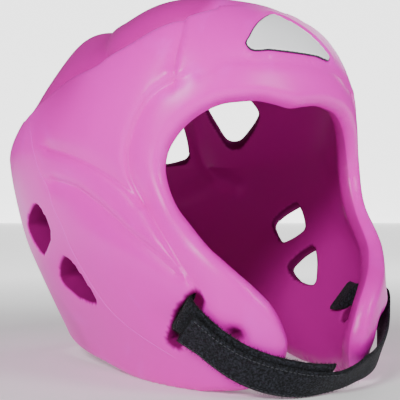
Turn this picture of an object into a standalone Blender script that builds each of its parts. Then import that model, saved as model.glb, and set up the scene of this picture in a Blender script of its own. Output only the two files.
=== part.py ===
"""Moulded foam head guard with a two-part chin strap.

The face looks towards -Y, the crown is up, and the guard stands on the rim of
its jaw pads and nape. Lengths are metres; lengths inside the tables are shares
of the named sizes, and directions are degrees seen from the middle of the head.
"""
import math

import bpy
import numpy as np
from mathutils import Vector
from mathutils.geometry import delaunay_2d_cdt

# Driving sizes, metres
WIDTH = 0.218            # across the ears
DEPTH = 0.256            # brow to the back of the head
HEIGHT = 0.234           # the height that the tables share; the crown ends just under it
WALL = 0.014             # foam wall
RIM_ROUND = 0.008        # how far the edge rounding reaches into the wall
RIM_FLAT = 0.30          # share of the wall left as the flat of the edge
VENT_FLAT = 0.75         # share of the wall left straight inside a vent
VENT_ROUND = 0.003       # rounding round a vent
FACET = 0.0105           # spacing of the foam surface points
EDGE_FACET = 0.0085      # spacing of points along rims and vents
GAP = 0.0003             # clear gap between neighbouring pieces
STRAP_THICK = 0.0022     # each strap half
STRAP_WIDTH = 0.0174     # each strap half
STRAP_FLARE = 0.42       # how much wider the strap is sewn in its slots, share of its width
LAYER_GAP = 0.0006       # clear gap between the two strap halves where they lie together
STRAP_STATIONS = 64      # cross sections along each strap half
LABEL_THICK = 0.0010     # forehead plate
LABEL_FACET = 0.006      # spacing of the plate's points

CENTRE = np.array([0.0, -0.02 * DEPTH, 0.49 * HEIGHT])
DOME_FROM = 0.555        # share of the height where the crown starts to close

# Level sections: height, half width, front, back and widest place as shares of
# height, half width and depth; then the fullness of the front and back halves
SECTIONS = np.array([
    # height  half   front   back   widest  front  back
    (-0.090, 0.530, -0.590, 0.310, -0.080, 2.50, 2.10),
    (0.000, 0.615, -0.602, 0.340, -0.080, 2.50, 2.10),
    (0.065, 0.670, -0.613, 0.365, -0.080, 2.50, 2.10),
    (0.140, 0.745, -0.617, 0.400, -0.080, 2.70, 2.10),
    (0.235, 0.835, -0.611, 0.438, -0.070, 2.70, 2.10),
    (0.320, 0.908, -0.588, 0.465, -0.055, 2.55, 2.10),
    (0.430, 0.963, -0.539, 0.484, -0.030, 2.20, 2.10),
    (0.555, 1.000, -0.512, 0.488, 0.000, 2.10, 2.10),
    (0.705, 1.000, -0.512, 0.488, 0.000, 2.10, 2.10),
    (1.030, 1.000, -0.508, 0.488, 0.020, 2.10, 2.10),
])

# Height of the crown along the head, shares of depth and height
CROWN = np.array([
    # place   height
    (-0.590, 0.978),
    (-0.390, 1.006),
    (-0.235, 0.992),
    (-0.080, 0.967),
    (0.115, 0.942),
    (0.315, 0.902),
    (0.510, 0.876),
])

# How squarely the crown closes, by direction from the face
SHOULDER = np.array([
    # degrees  power
    (0.0, 2.8),
    (30.0, 2.8),
    (60.0, 2.05),
    (90.0, 1.8),
    (125.0, 1.55),
    (180.0, 1.9),
])

# Middle of the wall's edge on the wearer's left, from the brow round the face,
# the jaw pad and the neck to the nape: shares of half width, depth and height
EDGE = np.array([
    # across  along   up
    (0.000, -0.4765, 0.660),
    (0.092, -0.4746, 0.667),
    (0.183, -0.4668, 0.672),
    (0.275, -0.4570, 0.669),
    (0.367, -0.4414, 0.661),
    (0.440, -0.4277, 0.645),
    (0.505, -0.4102, 0.620),
    (0.555, -0.3945, 0.588),
    (0.587, -0.3828, 0.553),
    (0.603, -0.3828, 0.513),
    (0.600, -0.3945, 0.470),
    (0.583, -0.4141, 0.427),
    (0.545, -0.4492, 0.380),
    (0.495, -0.4922, 0.329),
    (0.425, -0.5273, 0.286),
    (0.350, -0.5508, 0.248),
    (0.278, -0.5703, 0.205),
    (0.230, -0.5781, 0.162),
    (0.203, -0.5820, 0.120),
    (0.210, -0.5820, 0.077),
    (0.255, -0.5742, 0.034),
    (0.325, -0.5430, 0.004),
    (0.395, -0.4883, -0.004),
    (0.450, -0.4102, -0.004),
    (0.495, -0.3125, -0.002),
    (0.540, -0.1953, 0.006),
    (0.565, -0.0781, 0.019),
    (0.555, 0.0391, 0.030),
    (0.500, 0.1523, 0.036),
    (0.365, 0.2422, 0.021),
    (0.185, 0.2852, 0.000),
    (0.000, 0.2969, -0.004),
])

# Corners of the openings on the inside of the wearer's left wall, degrees round
# and up, and how many degrees further back the opening lies on the outside
OPENINGS = {
    "back_vent": (1.0, ((146.5, 12), (165, 9), (167, 33), (151, 36))),
    "crown_vent": (3.0, ((102, 36.0), (125, 18.5), (135, 44), (109, 52))),
    "ear_vent": (5.0, ((85, -6), (76, -17.5), (90, -25.5), (101, -15))),
    "neck_vent": (6.0, ((68.5, -22.5), (81.5, -33.5), (71.5, -37.5), (57, -36))),
    "strap_slot": (0.0, ((28.5, -22.5), (35.5, -24.5), (38, -38.5), (31.5, -39), (28.5, -31))),
}
CORNER_ROUND = 0.30      # share of a side taken up by the rounding of its corner

# Creases of the wearer's left half: depth and half width in shares of the wall,
# then the line they follow, degrees round and up
CREASES = {
    "crown_edge": (0.20, 0.34, ((92, 31), (84, 33), (74, 35), (59, 38.5), (49, 40.5),
                                (38, 42.5), (32, 43.5), (22, 46))),
    "crown_valley": (0.24, 0.60, ((64, 41), (71, 50), (86, 61), (125, 72))),
    "face_frame": (0.16, 0.35, ((-6, 29), (8, 28.5), (18, 28), (27, 27), (33, 24.5), (39, 22),
                                (43, 17), (45.5, 11), (46, 6), (45, 1), (42.5, -4), (39, -9),
                                (35.5, -14), (31.5, -18), (29, -21))),
    "upper_fold": (0.12, 0.30, ((76, 6), (64, 4), (56, 1), (48, -2), (43, -5))),
    "lower_fold": (0.12, 0.30, ((76, -3), (64, -6), (53, -10), (46, -13), (39, -17), (31, -20.5))),
    "brow_groove": (0.16, 0.25, ((30, 41), (32, 33), (33, 26))),
}

# Raised pads of the crown: middle in degrees, reach and rise in shares of the wall
PADS = (
    # round   up   reach  rise
    (98.0, 57.0, 2.10, 0.42),
)
LEAN_REACH = 1.1         # how far round an opening its lean is felt, shares of the wall

# Upper edge of the strap from the left slot to the middle of the chin, then the
# direction of its lower edge: degrees, and height over the skin in shares of the wall
STRAP = np.array([
    # round    up    lift  round    up    lift
    (32.0, -26.2, -0.98, 35.4, -36.5, -0.98),
    (32.0, -26.0, -0.60, 35.4, -36.5, -0.60),
    (31.8, -25.8, -0.22, 35.2, -36.5, -0.22),
    (31.2, -25.7, 0.05, 34.8, -36.4, 0.05),
    (29.2, -25.8, 0.13, 33.2, -36.2, 0.13),
    (26.0, -26.9, 0.12, 29.6, -36.6, 0.12),
    (22.0, -28.5, 0.11, 25.4, -37.0, 0.11),
    (17.8, -29.9, 0.12, 20.4, -37.4, 0.12),
    (13.8, -30.8, 0.18, 15.8, -37.6, 0.12),
    (9.6, -31.3, 0.34, 10.6, -37.4, 0.04),
    (5.0, -31.8, 0.50, 5.4, -37.2, -0.12),
    (0.0, -32.0, 0.56, 0.0, -36.9, -0.24),
])
INNER_END = -0.02        # the inner half ends here, measured from the middle, share of the half loop
OUTER_END = 0.66         # the outer half ends this far along the other cheek
LAYER_RISE = 0.18        # share of the half loop over which the outer half climbs
OUTER_SLIP = 0.16        # share of its width by which the outer half sits lower there
SLACK = 0.16             # how far the strap stands off the left jaw, share of the wall
SLACK_AT = 0.36          # where it stands off most, share of the half loop
FLARE_FROM = 0.50        # where it starts to widen, share of the half loop
FLARE_OVER = 0.25        # length over which it widens, share of the half loop

# Forehead plate: half outline in degrees round and up
LABEL = ((0, 47.5), (5, 46.8), (9.2, 43.5), (12.2, 38.5), (13.4, 33.4), (12.8, 32.4), (7, 31.6),
         (0, 31.4))


def turned(u, angle):
    """Directions turned about the upright by angles in degrees."""
    a = np.radians(angle)
    x, y = u[:, 0], u[:, 1]
    return np.stack([x * np.cos(a) - y * np.sin(a), x * np.sin(a) + y * np.cos(a), u[:, 2]], axis=-1)


def bow(x, xs, ys):
    """Smooth curve through the rows of a table."""
    slope = np.gradient(ys, xs)
    i = np.clip(np.searchsorted(xs, x) - 1, 0, len(xs) - 2)
    h = xs[i + 1] - xs[i]
    t = np.clip((x - xs[i]) / h, 0.0, 1.0)
    a = (2 * t**3 - 3 * t**2 + 1) * ys[i] + (t**3 - 2 * t**2 + t) * h * slope[i]
    return a + (3 * t**2 - 2 * t**3) * ys[i + 1] + (t**3 - t**2) * h * slope[i + 1]


def gauge(p):
    """One on the outside of the plain head form, less inside it."""
    x, y, z = p[..., 0], p[..., 1], p[..., 2]
    level = z / HEIGHT
    half, front, back, widest, n_front, n_back = [
        bow(level, SECTIONS[:, 0], SECTIONS[:, c]) for c in range(1, 7)]
    middle = widest * DEPTH
    facing = y < middle
    reach = np.where(facing, middle - front * DEPTH, back * DEPTH - middle)
    power = np.where(facing, n_front, n_back)
    ring = ((np.abs(x) / (half * WIDTH / 2)) ** power
            + (np.abs(y - middle) / reach) ** power) ** (1 / power)
    turn = np.degrees(np.arctan2(np.abs(x), middle - y))
    close = bow(turn, SHOULDER[:, 0], SHOULDER[:, 1])
    top = bow(y / DEPTH, CROWN[:, 0], CROWN[:, 1]) * HEIGHT
    start = DOME_FROM * HEIGHT
    rise = np.clip((z - start) / (top - start), 0.0, None)
    return (ring**close + rise**close) ** (1 / close)


def unit(v):
    return v / np.linalg.norm(v, axis=-1, keepdims=True)


def heading(turn, lift):
    """Direction from the middle of the head; turn 0 is the face, 90 the left ear."""
    a = np.radians(np.asarray(turn, float))
    e = np.radians(np.asarray(lift, float))
    return np.stack([np.sin(a) * np.cos(e), -np.cos(a) * np.cos(e), np.sin(e)], axis=-1)


def form(u):
    """Point of the plain form in each direction and its outward normal."""
    low = np.full(u.shape[:-1], 0.1 * HEIGHT)
    high = np.full(u.shape[:-1], 1.5 * HEIGHT)
    for _ in range(36):
        mid = (low + high) / 2
        inside = gauge(CENTRE + mid[..., None] * u) < 1.0
        low = np.where(inside, mid, low)
        high = np.where(inside, high, mid)
    p = CENTRE + low[..., None] * u
    step = np.eye(3) * 0.002 * WIDTH
    slope = np.stack([gauge(p + s) - gauge(p - s) for s in step], axis=-1)
    return p, unit(slope)


def mirrored(points):
    """Closed left-right loop from the points of one half, first and last on the middle."""
    other = points[-2:0:-1] * np.array([-1.0, 1.0, 1.0])
    return np.concatenate([points, other])


def even(points, spacing, closed=True):
    """Smooth line through the points with even steps."""
    q = np.concatenate([points[-2:], points, points[:3]]) if closed else points
    t = np.concatenate([[0.0], np.cumsum(np.linalg.norm(np.diff(q, axis=0), axis=1))])
    first, last = (t[2], t[-3]) if closed else (t[0], t[-1])
    count = max(4, int(round((last - first) / spacing)))
    if closed:
        count += count % 2
    at = first + (last - first) * np.arange(count + (0 if closed else 1)) / count
    return np.stack([bow(at, t, q[:, c]) for c in range(3)], axis=-1)


def reach_to(p, line, closed):
    """Distance from each point to a line of points."""
    a = line if closed else line[:-1]
    b = np.roll(line, -1, axis=0) if closed else line[1:]
    best = np.full(len(p), 1e9)
    for start, end in zip(a, b):
        run = end - start
        t = np.clip(((p - start) @ run) / (run @ run), 0.0, 1.0)
        best = np.minimum(best, np.linalg.norm(p - start - t[:, None] * run, axis=1))
    return best


def rounded(corners):
    """Opening's outline as directions, its corners eased."""
    c = np.array(corners, float)
    out = []
    for i in range(len(c)):
        before = c[i] + (c[i - 1] - c[i]) * CORNER_ROUND
        after = c[i] + (c[(i + 1) % len(c)] - c[i]) * CORNER_ROUND
        for t in (0.0, 0.35, 0.65, 1.0):
            out.append((1 - t) ** 2 * before + 2 * t * (1 - t) * c[i] + t**2 * after)
    out = np.array(out)
    return heading(out[:, 0], out[:, 1])


def sides(loops):
    """The loops of the left half and their mirror images."""
    return loops + [loop[::-1] * np.array([-1.0, 1.0, 1.0]) for loop in loops]


def edge_loop():
    """Directions round the whole edge of the wall, evenly spaced."""
    half = EDGE * np.array([WIDTH / 2, DEPTH, HEIGHT])
    step = np.eye(3) * 0.002 * WIDTH
    normal = unit(np.stack([gauge(half + s) - gauge(half - s) for s in step], axis=-1))
    skin = half + normal * WALL / 2
    loop = even(mirrored(skin), EDGE_FACET)
    loop[np.abs(loop[:, 0]) < 1e-9, 0] = 0.0
    return unit(loop - CENTRE)


def crease_lines():
    """Depth, half width and surface line of every crease, both sides."""
    found = []
    for depth, half, line in CREASES.values():
        a = np.array(line, float)
        p, _ = form(heading(a[:, 0], a[:, 1]))
        for side in (1.0, -1.0):
            found.append((depth * WALL, half * WALL, even(p * np.array([side, 1.0, 1.0]), FACET * 0.9, False)))
    return found


def relief(p, creases):
    """Rise of the moulded skin over the plain form."""
    rise = np.zeros(len(p))
    for turn, lift, reach, height in PADS:
        for side in (1.0, -1.0):
            q, _ = form(heading(side * turn, lift))
            away = np.linalg.norm(p - q, axis=1) / (reach * WALL)
            rise += height * WALL * np.exp(-away**2)
    for depth, half, line in creases:
        away = reach_to(p, line, False) / half
        rise -= depth * np.exp(-away**2)
    return rise


def flat_map(u, pole):
    """Stereographic map of directions about the pole."""
    across = unit(np.cross(pole, [0.0, 0.0, 1.0]))
    upward = np.cross(across, pole)
    return np.stack([u @ across, u @ upward], axis=-1) / (1.0 + u @ pole)[..., None]


def within(points, loop):
    """Even-odd test of map points against a closed loop."""
    x, y = points[:, 0], points[:, 1]
    inside = np.zeros(len(points), bool)
    for (ax, ay), (bx, by) in zip(loop, np.roll(loop, -1, axis=0)):
        if ay != by:
            crosses = (ay > y) != (by > y)
            inside ^= crosses & (x < (bx - ax) * (y - ay) / (by - ay) + ax)
    return inside


def sprinkle(spacing):
    """Evenly spread directions, the same on both sides."""
    gap = spacing / (0.47 * DEPTH)
    count = int(4 * math.pi / (gap**2 * 0.866))
    k = np.arange(count) + 0.5
    lift = np.degrees(np.arcsin(1 - 2 * k / count))
    u = heading(k * 137.50776, lift)
    u = u[u[:, 0] > 0.55 * gap]
    middle = np.arange(0, 360, math.degrees(gap))
    seam = heading(np.zeros(len(middle)), middle)
    seam[:, 0] = 0.0
    return np.concatenate([u, u * np.array([-1.0, 1.0, 1.0]), seam])


def moved(loop, centre_side, distance):
    """Loop of directions shifted sideways over the surface, metres."""
    along = unit(np.roll(loop, -1, axis=0) - np.roll(loop, 1, axis=0))
    sideways = np.cross(loop, along) * centre_side
    p, _ = form(loop)
    away = np.linalg.norm(p - CENTRE, axis=1)[:, None]
    return unit(loop + sideways * distance / away)


def winding(loop, pole):
    """Plus one when the loop runs anticlockwise in the map."""
    m = flat_map(loop, pole)
    n = np.roll(m, -1, axis=0)
    return 1.0 if (m[:, 0] * n[:, 1] - n[:, 0] * m[:, 1]).sum() > 0 else -1.0


def rounding(away, reach, flat):
    """Half thickness of the wall near an edge, as a share."""
    t = np.clip(away / reach, 0.0, 1.0)
    return flat + (1 - flat) * np.sqrt(np.clip(1 - (1 - t) ** 2, 0.0, 1.0))


def shell_points(edge, openings, creases, pole):
    """Directions of all surface points; the loops come first."""
    loops = [edge] + openings
    side = winding(edge, pole)
    rings = [moved(edge, side, RIM_ROUND * 0.30), moved(edge, side, RIM_ROUND)]
    rings += [moved(loop, -winding(loop, pole), VENT_ROUND) for loop in openings]
    taken = list(loops) + rings
    for depth, half, line in creases:
        u = unit(line - CENTRE)
        along = unit(np.gradient(u, axis=0))
        sideways = np.cross(u, along)
        reach = 1.5 * half / np.linalg.norm(line - CENTRE, axis=1)[:, None]
        taken += [u, unit(u + sideways * reach), unit(u - sideways * reach)]
    return loops, taken


def keep_clear(new, old, gap):
    """New directions that stay clear of the old ones."""
    ok = np.ones(len(new), bool)
    for q in old:
        ok &= np.linalg.norm(new - q, axis=1) > gap
    return new[ok]


def mesh_object(name, verts, faces, colour, rough, smooth=True):
    mesh = bpy.data.meshes.new(name)
    mesh.from_pydata([tuple(v) for v in verts], [], [tuple(int(i) for i in f) for f in faces])
    mesh.validate()
    mesh.update()
    for polygon in mesh.polygons:
        polygon.use_smooth = smooth
    obj = bpy.data.objects.new(name, mesh)
    bpy.context.scene.collection.objects.link(obj)
    material = bpy.data.materials.new(name + "_material")
    material.use_nodes = True
    shader = material.node_tree.nodes["Principled BSDF"]
    shader.inputs["Base Color"].default_value = (*colour, 1.0)
    shader.inputs["Roughness"].default_value = rough
    mesh.materials.append(material)
    return obj


def triangulate(first, extra, loops, pole, gap):
    """Triangles between the outer loop and the openings; loops come first in the result."""
    fixed = np.concatenate(loops)
    outer = flat_map(loops[0], pole)
    holes = [flat_map(loop, pole) for loop in loops[1:]]
    placed = [fixed]
    for group in extra:
        m = flat_map(group, pole)
        ok = within(m, outer)
        for hole in holes:
            ok &= ~within(m, hole)
        placed.append(keep_clear(group[ok], np.concatenate(placed), gap if group is first else gap * 0.45))
    u = np.concatenate(placed)
    m = flat_map(u, pole)
    edges = []
    start = 0
    for loop in loops:
        n = len(loop)
        edges += [(start + i, start + (i + 1) % n) for i in range(n)]
        start += n
    points, _, faces, origin, _, _ = delaunay_2d_cdt([Vector(q) for q in m], edges, [], 0, 1e-7)
    back = {}
    for i, ids in enumerate(origin):
        if ids:
            back[i] = min(ids)
    kept = []
    for f in faces:
        if all(i in back for i in f):
            kept.append([back[i] for i in f])
    kept = np.array(kept)
    middle = m[kept].mean(axis=1)
    ok = within(middle, outer)
    for hole in holes:
        ok &= ~within(middle, hole)
    return u, kept[ok]


def build_shell():
    pole = heading(180.0, 36.0)
    edge = edge_loop()
    openings = []
    for _, corners in OPENINGS.values():
        u = rounded(corners)
        p, _ = form(u)
        openings.append(unit(even(p, EDGE_FACET * 0.75) - CENTRE))
    openings = sides(openings)
    leans = [lean for lean, _ in OPENINGS.values()]
    leans += [-lean for lean in leans]
    creases = crease_lines()
    loops, taken = shell_points(edge, openings, creases, pole)
    fill = sprinkle(FACET)
    gap = 0.72 * FACET / (0.47 * DEPTH)
    u, faces = triangulate(fill, taken[len(loops):] + [fill], loops, pole, gap)

    base, normal = form(u)
    edge_line, _ = form(edge)
    share = rounding(reach_to(base, edge_line, True), RIM_ROUND, RIM_FLAT)
    back = np.zeros(len(u))
    for loop, lean in zip(openings, leans):
        line, _ = form(loop)
        away = reach_to(base, line, True)
        share = np.minimum(share, rounding(away, VENT_ROUND, VENT_FLAT))
        back += lean * np.exp(-(away / (LEAN_REACH * WALL)) ** 2)
    inside = base - normal * (WALL / 2 * (1 + share))[:, None]
    base, normal = form(turned(u, back))
    rise = relief(base, creases) * np.clip((share - RIM_FLAT) / (1 - RIM_FLAT), 0.0, 1.0)
    outside = base - normal * (WALL / 2 * (1 - share) - rise)[:, None]
    verts = np.concatenate([outside, inside])
    verts[:, 2] = np.maximum(verts[:, 2], 0.0)

    a, b, c = base[faces[:, 0]], base[faces[:, 1]], base[faces[:, 2]]
    outward = (np.cross(b - a, c - a) * (a - CENTRE)).sum(axis=1) > 0
    faces = np.where(outward[:, None], faces, faces[:, ::-1])
    n = len(u)
    skin = [tuple(f) for f in faces] + [tuple(f[::-1] + n) for f in faces]
    directed = {}
    for f in faces:
        for i in range(3):
            directed[(f[i], f[(i + 1) % 3])] = True
    for i, j in list(directed):
        if (j, i) not in directed:
            skin.append((j, i, i + n, j + n))
    return mesh_object("shell", verts, skin, (0.72, 0.13, 0.45), 0.35)


def strap_path(t):
    """Upper edge and width direction at t, from -1 in the right slot to 1 in the left."""
    xs = np.linspace(-1.0, 1.0, 2 * len(STRAP) - 1)
    mirror = STRAP[:-1] * np.array([-1.0, 1.0, 1.0, -1.0, 1.0, 1.0])
    ys = np.concatenate([mirror, STRAP[::-1]])
    col = [bow(t, xs, ys[:, c]) for c in range(6)]
    slack = SLACK * np.exp(-((t - SLACK_AT) / (SLACK_AT / 2)) ** 2)
    edges = []
    for k in (0, 3):
        p, n = form(heading(col[k], col[k + 1]))
        edges.append(p + n * ((col[k + 2] + slack) * WALL)[:, None])
    return edges[0], unit(edges[1] - edges[0])


def strap_piece(name, start, stop, lift, slip, colour):
    """One strap half as a closed ribbon; lift raises it over the path, slip lowers it."""
    t = np.linspace(start, stop, STRAP_STATIONS)
    upper, down = strap_path(t)
    centre = upper + down * STRAP_WIDTH / 2
    along = unit(np.gradient(centre, axis=0))
    out = unit(np.cross(down, along))
    width = STRAP_WIDTH * (1 + STRAP_FLARE * np.clip((np.abs(t) - FLARE_FROM) / FLARE_OVER, 0.0, 1.0))
    top = upper + down * (slip(t) * STRAP_WIDTH)[:, None] + out * lift(t)[:, None]
    bottom = top + down * width[:, None]
    rings = [top, bottom, bottom + out * STRAP_THICK, top + out * STRAP_THICK]
    verts = np.stack(rings, axis=1).reshape(-1, 3)
    faces = []
    for i in range(STRAP_STATIONS - 1):
        for k in range(4):
            a = 4 * i + k
            b = 4 * i + (k + 1) % 4
            faces.append((a, a + 4, b + 4, b))
    end = 4 * (STRAP_STATIONS - 1)
    faces.append((0, 1, 2, 3))
    faces.append((end + 3, end + 2, end + 1, end))
    return mesh_object(name, verts, faces, colour, 0.85, False)


def climb(t):
    """How far the outer half has climbed onto the inner one, 0 to 1."""
    s = np.clip((LAYER_RISE + INNER_END - t) / LAYER_RISE, 0.0, 1.0)
    return s * s * (3 - 2 * s)


def build_straps():
    inner = strap_piece("strap_inner", -1.0, INNER_END, lambda t: 0.0 * t, lambda t: 0.0 * t,
                        (0.03, 0.032, 0.036))
    outer = strap_piece("strap_outer", -OUTER_END, 1.0, lambda t: (STRAP_THICK + LAYER_GAP) * climb(t),
                        lambda t: OUTER_SLIP * climb(t), (0.025, 0.027, 0.031))
    return inner, outer


def build_label():
    half = np.array(LABEL, float)
    u = heading(half[:, 0], half[:, 1])
    p, _ = form(u)
    loop = unit(even(mirrored(p), LABEL_FACET) - CENTRE)
    pole = heading(0.0, 40.0)
    fill = sprinkle(LABEL_FACET)
    fill = fill[fill @ pole > 0.9]
    gap = 0.6 * LABEL_FACET / (0.47 * DEPTH)
    u, faces = triangulate(fill, [fill], [loop], pole, gap)
    base, normal = form(u)
    verts = np.concatenate([base + normal * (2 * GAP + LABEL_THICK), base + normal * 2 * GAP])
    a, b, c = base[faces[:, 0]], base[faces[:, 1]], base[faces[:, 2]]
    outward = (np.cross(b - a, c - a) * (a - CENTRE)).sum(axis=1) > 0
    faces = np.where(outward[:, None], faces, faces[:, ::-1])
    n = len(u)
    skin = [tuple(f) for f in faces] + [tuple(f[::-1] + n) for f in faces]
    directed = {(f[i], f[(i + 1) % 3]) for f in faces for i in range(3)}
    skin += [(j, i, i + n, j + n) for i, j in directed if (j, i) not in directed]
    return mesh_object("forehead_label", verts, skin, (0.86, 0.87, 0.88), 0.25)


def stand(objects):
    """Put the middle of the whole thing over the origin, on the floor."""
    ys = [v.co.y for o in objects for v in o.data.vertices]
    shift = -(min(ys) + max(ys)) / 2
    for o in objects:
        for v in o.data.vertices:
            v.co.y += shift


for old in list(bpy.data.objects):
    bpy.data.objects.remove(old)
shell = build_shell()
label = build_label()
strap_inner, strap_outer = build_straps()
stand([shell, label, strap_inner, strap_outer])
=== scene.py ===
"""Looks of the moulded foam head guard: satin pink foam, bare brow plate, webbing strap.

The face looks towards -Y and the guard stands on the floor at z = 0. Lengths are
metres; lengths inside the tables are shares of the named sizes, and directions
are degrees seen from the middle of the head.
"""
import math

import bpy
import numpy as np
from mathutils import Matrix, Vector, kdtree
from mathutils.geometry import delaunay_2d_cdt


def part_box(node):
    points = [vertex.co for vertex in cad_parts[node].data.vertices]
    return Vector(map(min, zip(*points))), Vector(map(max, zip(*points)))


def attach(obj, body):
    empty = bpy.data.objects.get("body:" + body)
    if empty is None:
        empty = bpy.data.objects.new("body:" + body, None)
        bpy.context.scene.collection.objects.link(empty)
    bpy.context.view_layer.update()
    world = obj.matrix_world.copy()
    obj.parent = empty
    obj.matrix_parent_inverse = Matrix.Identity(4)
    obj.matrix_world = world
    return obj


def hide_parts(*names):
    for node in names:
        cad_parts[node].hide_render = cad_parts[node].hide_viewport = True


# Sizes of the guard, metres
WIDTH = 0.218            # across the ears
DEPTH = 0.256            # brow to the back of the head
HEIGHT = 0.234           # the height that the tables share
WALL = 0.014             # foam wall
RIM_ROUND = 0.008        # how far the edge rounding reaches into the wall
RIM_FLAT = 0.14          # share of the wall left as the flat of the edge
VENT_FLAT = 0.84         # share of the wall left straight inside a vent
VENT_ROUND = 0.0018      # rounding round a vent
FACET = 0.00185          # spacing of the foam surface points
EDGE_FACET = 0.0017      # spacing of points along rims and vents
CREASE_FACET = 0.0016    # spacing of points along creases
STRAP_THICK = 0.0022     # each strap half
STRAP_WIDTH = 0.0174     # each strap half
STRAP_FLARE = 0.36       # how much wider the strap is sewn in its slots, share of its width
LAYER_GAP = 0.0006       # clear gap between the two strap halves
LABEL_THICK = 0.0010     # forehead plate
LABEL_FACET = 0.0011     # spacing of the plate's points
LABEL_SINK = 0.0009      # how deep the foam is recessed under the plate
LABEL_GAP = 0.0002       # clear gap under the plate

CENTRE = np.array([0.0, -0.02 * DEPTH, 0.49 * HEIGHT])
DOME_FROM = 0.555        # share of the height where the crown starts to close
DOME_EASE = 0.04         # share of the crown's rise over which the closing starts gently
POLE = (180.0, 36.0)     # direction that the surface map is laid out from
HEAD_RADIUS = 0.47 * DEPTH   # turns spacings into angles
SLOPE_STEP = 0.002 * WIDTH   # step over which the form's slope is measured
SEARCH_FROM = 0.1 * HEIGHT   # the form lies between these distances from CENTRE
SEARCH_TO = 1.5 * HEIGHT
SEARCH_STEPS = 30
GOLDEN_ANGLE = 137.50776     # degrees, spreads points evenly
TRIANGLE_HEIGHT = 0.866      # of an even triangle with sides of one
TINY = 1e-12                 # keeps a division clear of zero
MAP_TOLERANCE = 1e-9         # points of the map nearer than this are one

# How close points may come to each other, shares of the spacing
EDGE_GAP = 0.22
CREASE_GAP = 0.5
OPEN_GAP = 0.72
LABEL_EDGE_GAP = 0.2
LABEL_OPEN_GAP = 0.6

# The camera, fitted to the photograph
CAMERA_TURN = 32.0       # degrees from straight ahead, towards the wearer's right
CAMERA_AWAY = 0.587      # from the middle of the head
CAMERA_ASIDE = -0.015
CAMERA_UP = 0.095
PHOTO_SIDE = 400.0       # pixels
FOCAL = 860.0            # pixels
HORIZON = 215.0          # pixels from the top
SENSOR_WIDTH = 36.0      # millimetres

# Soft square lights, all aimed at one point
LIGHTS = (
    # name   place                 side   watts
    ("key", (-1.05, -0.75, 0.80), 0.36, 15.5),
    ("fill", (0.45, -1.25, 0.80), 0.45, 8.0),
    ("rim", (0.95, 0.55, 0.75), 0.50, 2.5),
)
LIT_POINT = (0.0, 0.0, 0.11)
SKY = 0.16               # strength of the even light from all round
FLOOR_REACH = 30.0       # from the middle to each side of the floor
FLOOR_GLOW = (0.15, 1.3, 0.22, 0.80)     # glow near and far, and the distances where each holds
BACKDROP_AWAY = 10.0     # behind the guard
BACKDROP_HALF = 2.8      # half of its width
BACKDROP_HIGH = 3.0
BACKDROP_GLOW = (2.3, 2.3, 0.0, 1.0)

# Base colours
FOAM = (0.94, 0.004, 0.61)
# deeper pink of the random patches and, partly as painted shade, of the crown
FOAM_DEEP_AND_SHADE = (0.60, 0.001, 0.35)
# painted highlight along the ridge under the crown
FOAM_RIDGE_HIGHLIGHT = (0.97, 0.10, 0.78)
FOAM_FLOW = (0.96, 0.018, 0.68)
FOAM_SHADE = (0.56, 0.009, 0.34)
# painted shade on the walls of the vents and the slot and in the strap pockets
FOAM_HOLE_SHADE = (0.21, 0.003, 0.11)
FOAM_LINE = (0.96, 0.05, 0.72)
PLATE = (0.95, 0.96, 0.98)
PLATE_RIM = (0.020, 0.018, 0.030)
WEBBING_DARK = (0.002, 0.0022, 0.003)
WEBBING_LIGHT = (0.030, 0.033, 0.045)
FIBRE = (0.008, 0.008, 0.010)
THREAD = (0.05, 0.052, 0.060)
SET_PALE = (0.90, 0.90, 0.90)

# Level sections: height, half width, front, back and widest place as shares of
# height, half width and depth; then the fullness of the front and back halves
SECTIONS = np.array([
    # height  half   front   back   widest  front  back
    (-0.090, 0.530, -0.590, 0.310, -0.080, 2.50, 2.10),
    (0.000, 0.615, -0.602, 0.340, -0.080, 2.50, 2.10),
    (0.065, 0.670, -0.613, 0.365, -0.080, 2.50, 2.10),
    (0.140, 0.745, -0.617, 0.400, -0.080, 2.70, 2.10),
    (0.235, 0.835, -0.611, 0.438, -0.070, 2.70, 2.10),
    (0.320, 0.908, -0.588, 0.465, -0.055, 2.55, 2.10),
    (0.430, 0.963, -0.539, 0.484, -0.030, 2.20, 2.10),
    (0.555, 1.000, -0.512, 0.488, 0.000, 2.10, 2.10),
    (0.705, 1.000, -0.512, 0.488, 0.000, 2.10, 2.10),
    (1.030, 1.000, -0.508, 0.488, 0.020, 2.10, 2.10),
])

# Height of the crown along the head, shares of depth and height
CROWN = np.array([
    # place   height
    (-0.590, 0.978),
    (-0.390, 1.006),
    (-0.235, 0.992),
    (-0.080, 0.967),
    (0.115, 0.942),
    (0.315, 0.902),
    (0.510, 0.876),
])

# How squarely the crown closes, by direction from the face
SHOULDER = np.array([
    # degrees  power
    (0.0, 2.8),
    (30.0, 2.8),
    (60.0, 2.05),
    (90.0, 1.8),
    (125.0, 1.55),
    (180.0, 1.9),
    (235.0, 1.55),
])

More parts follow.
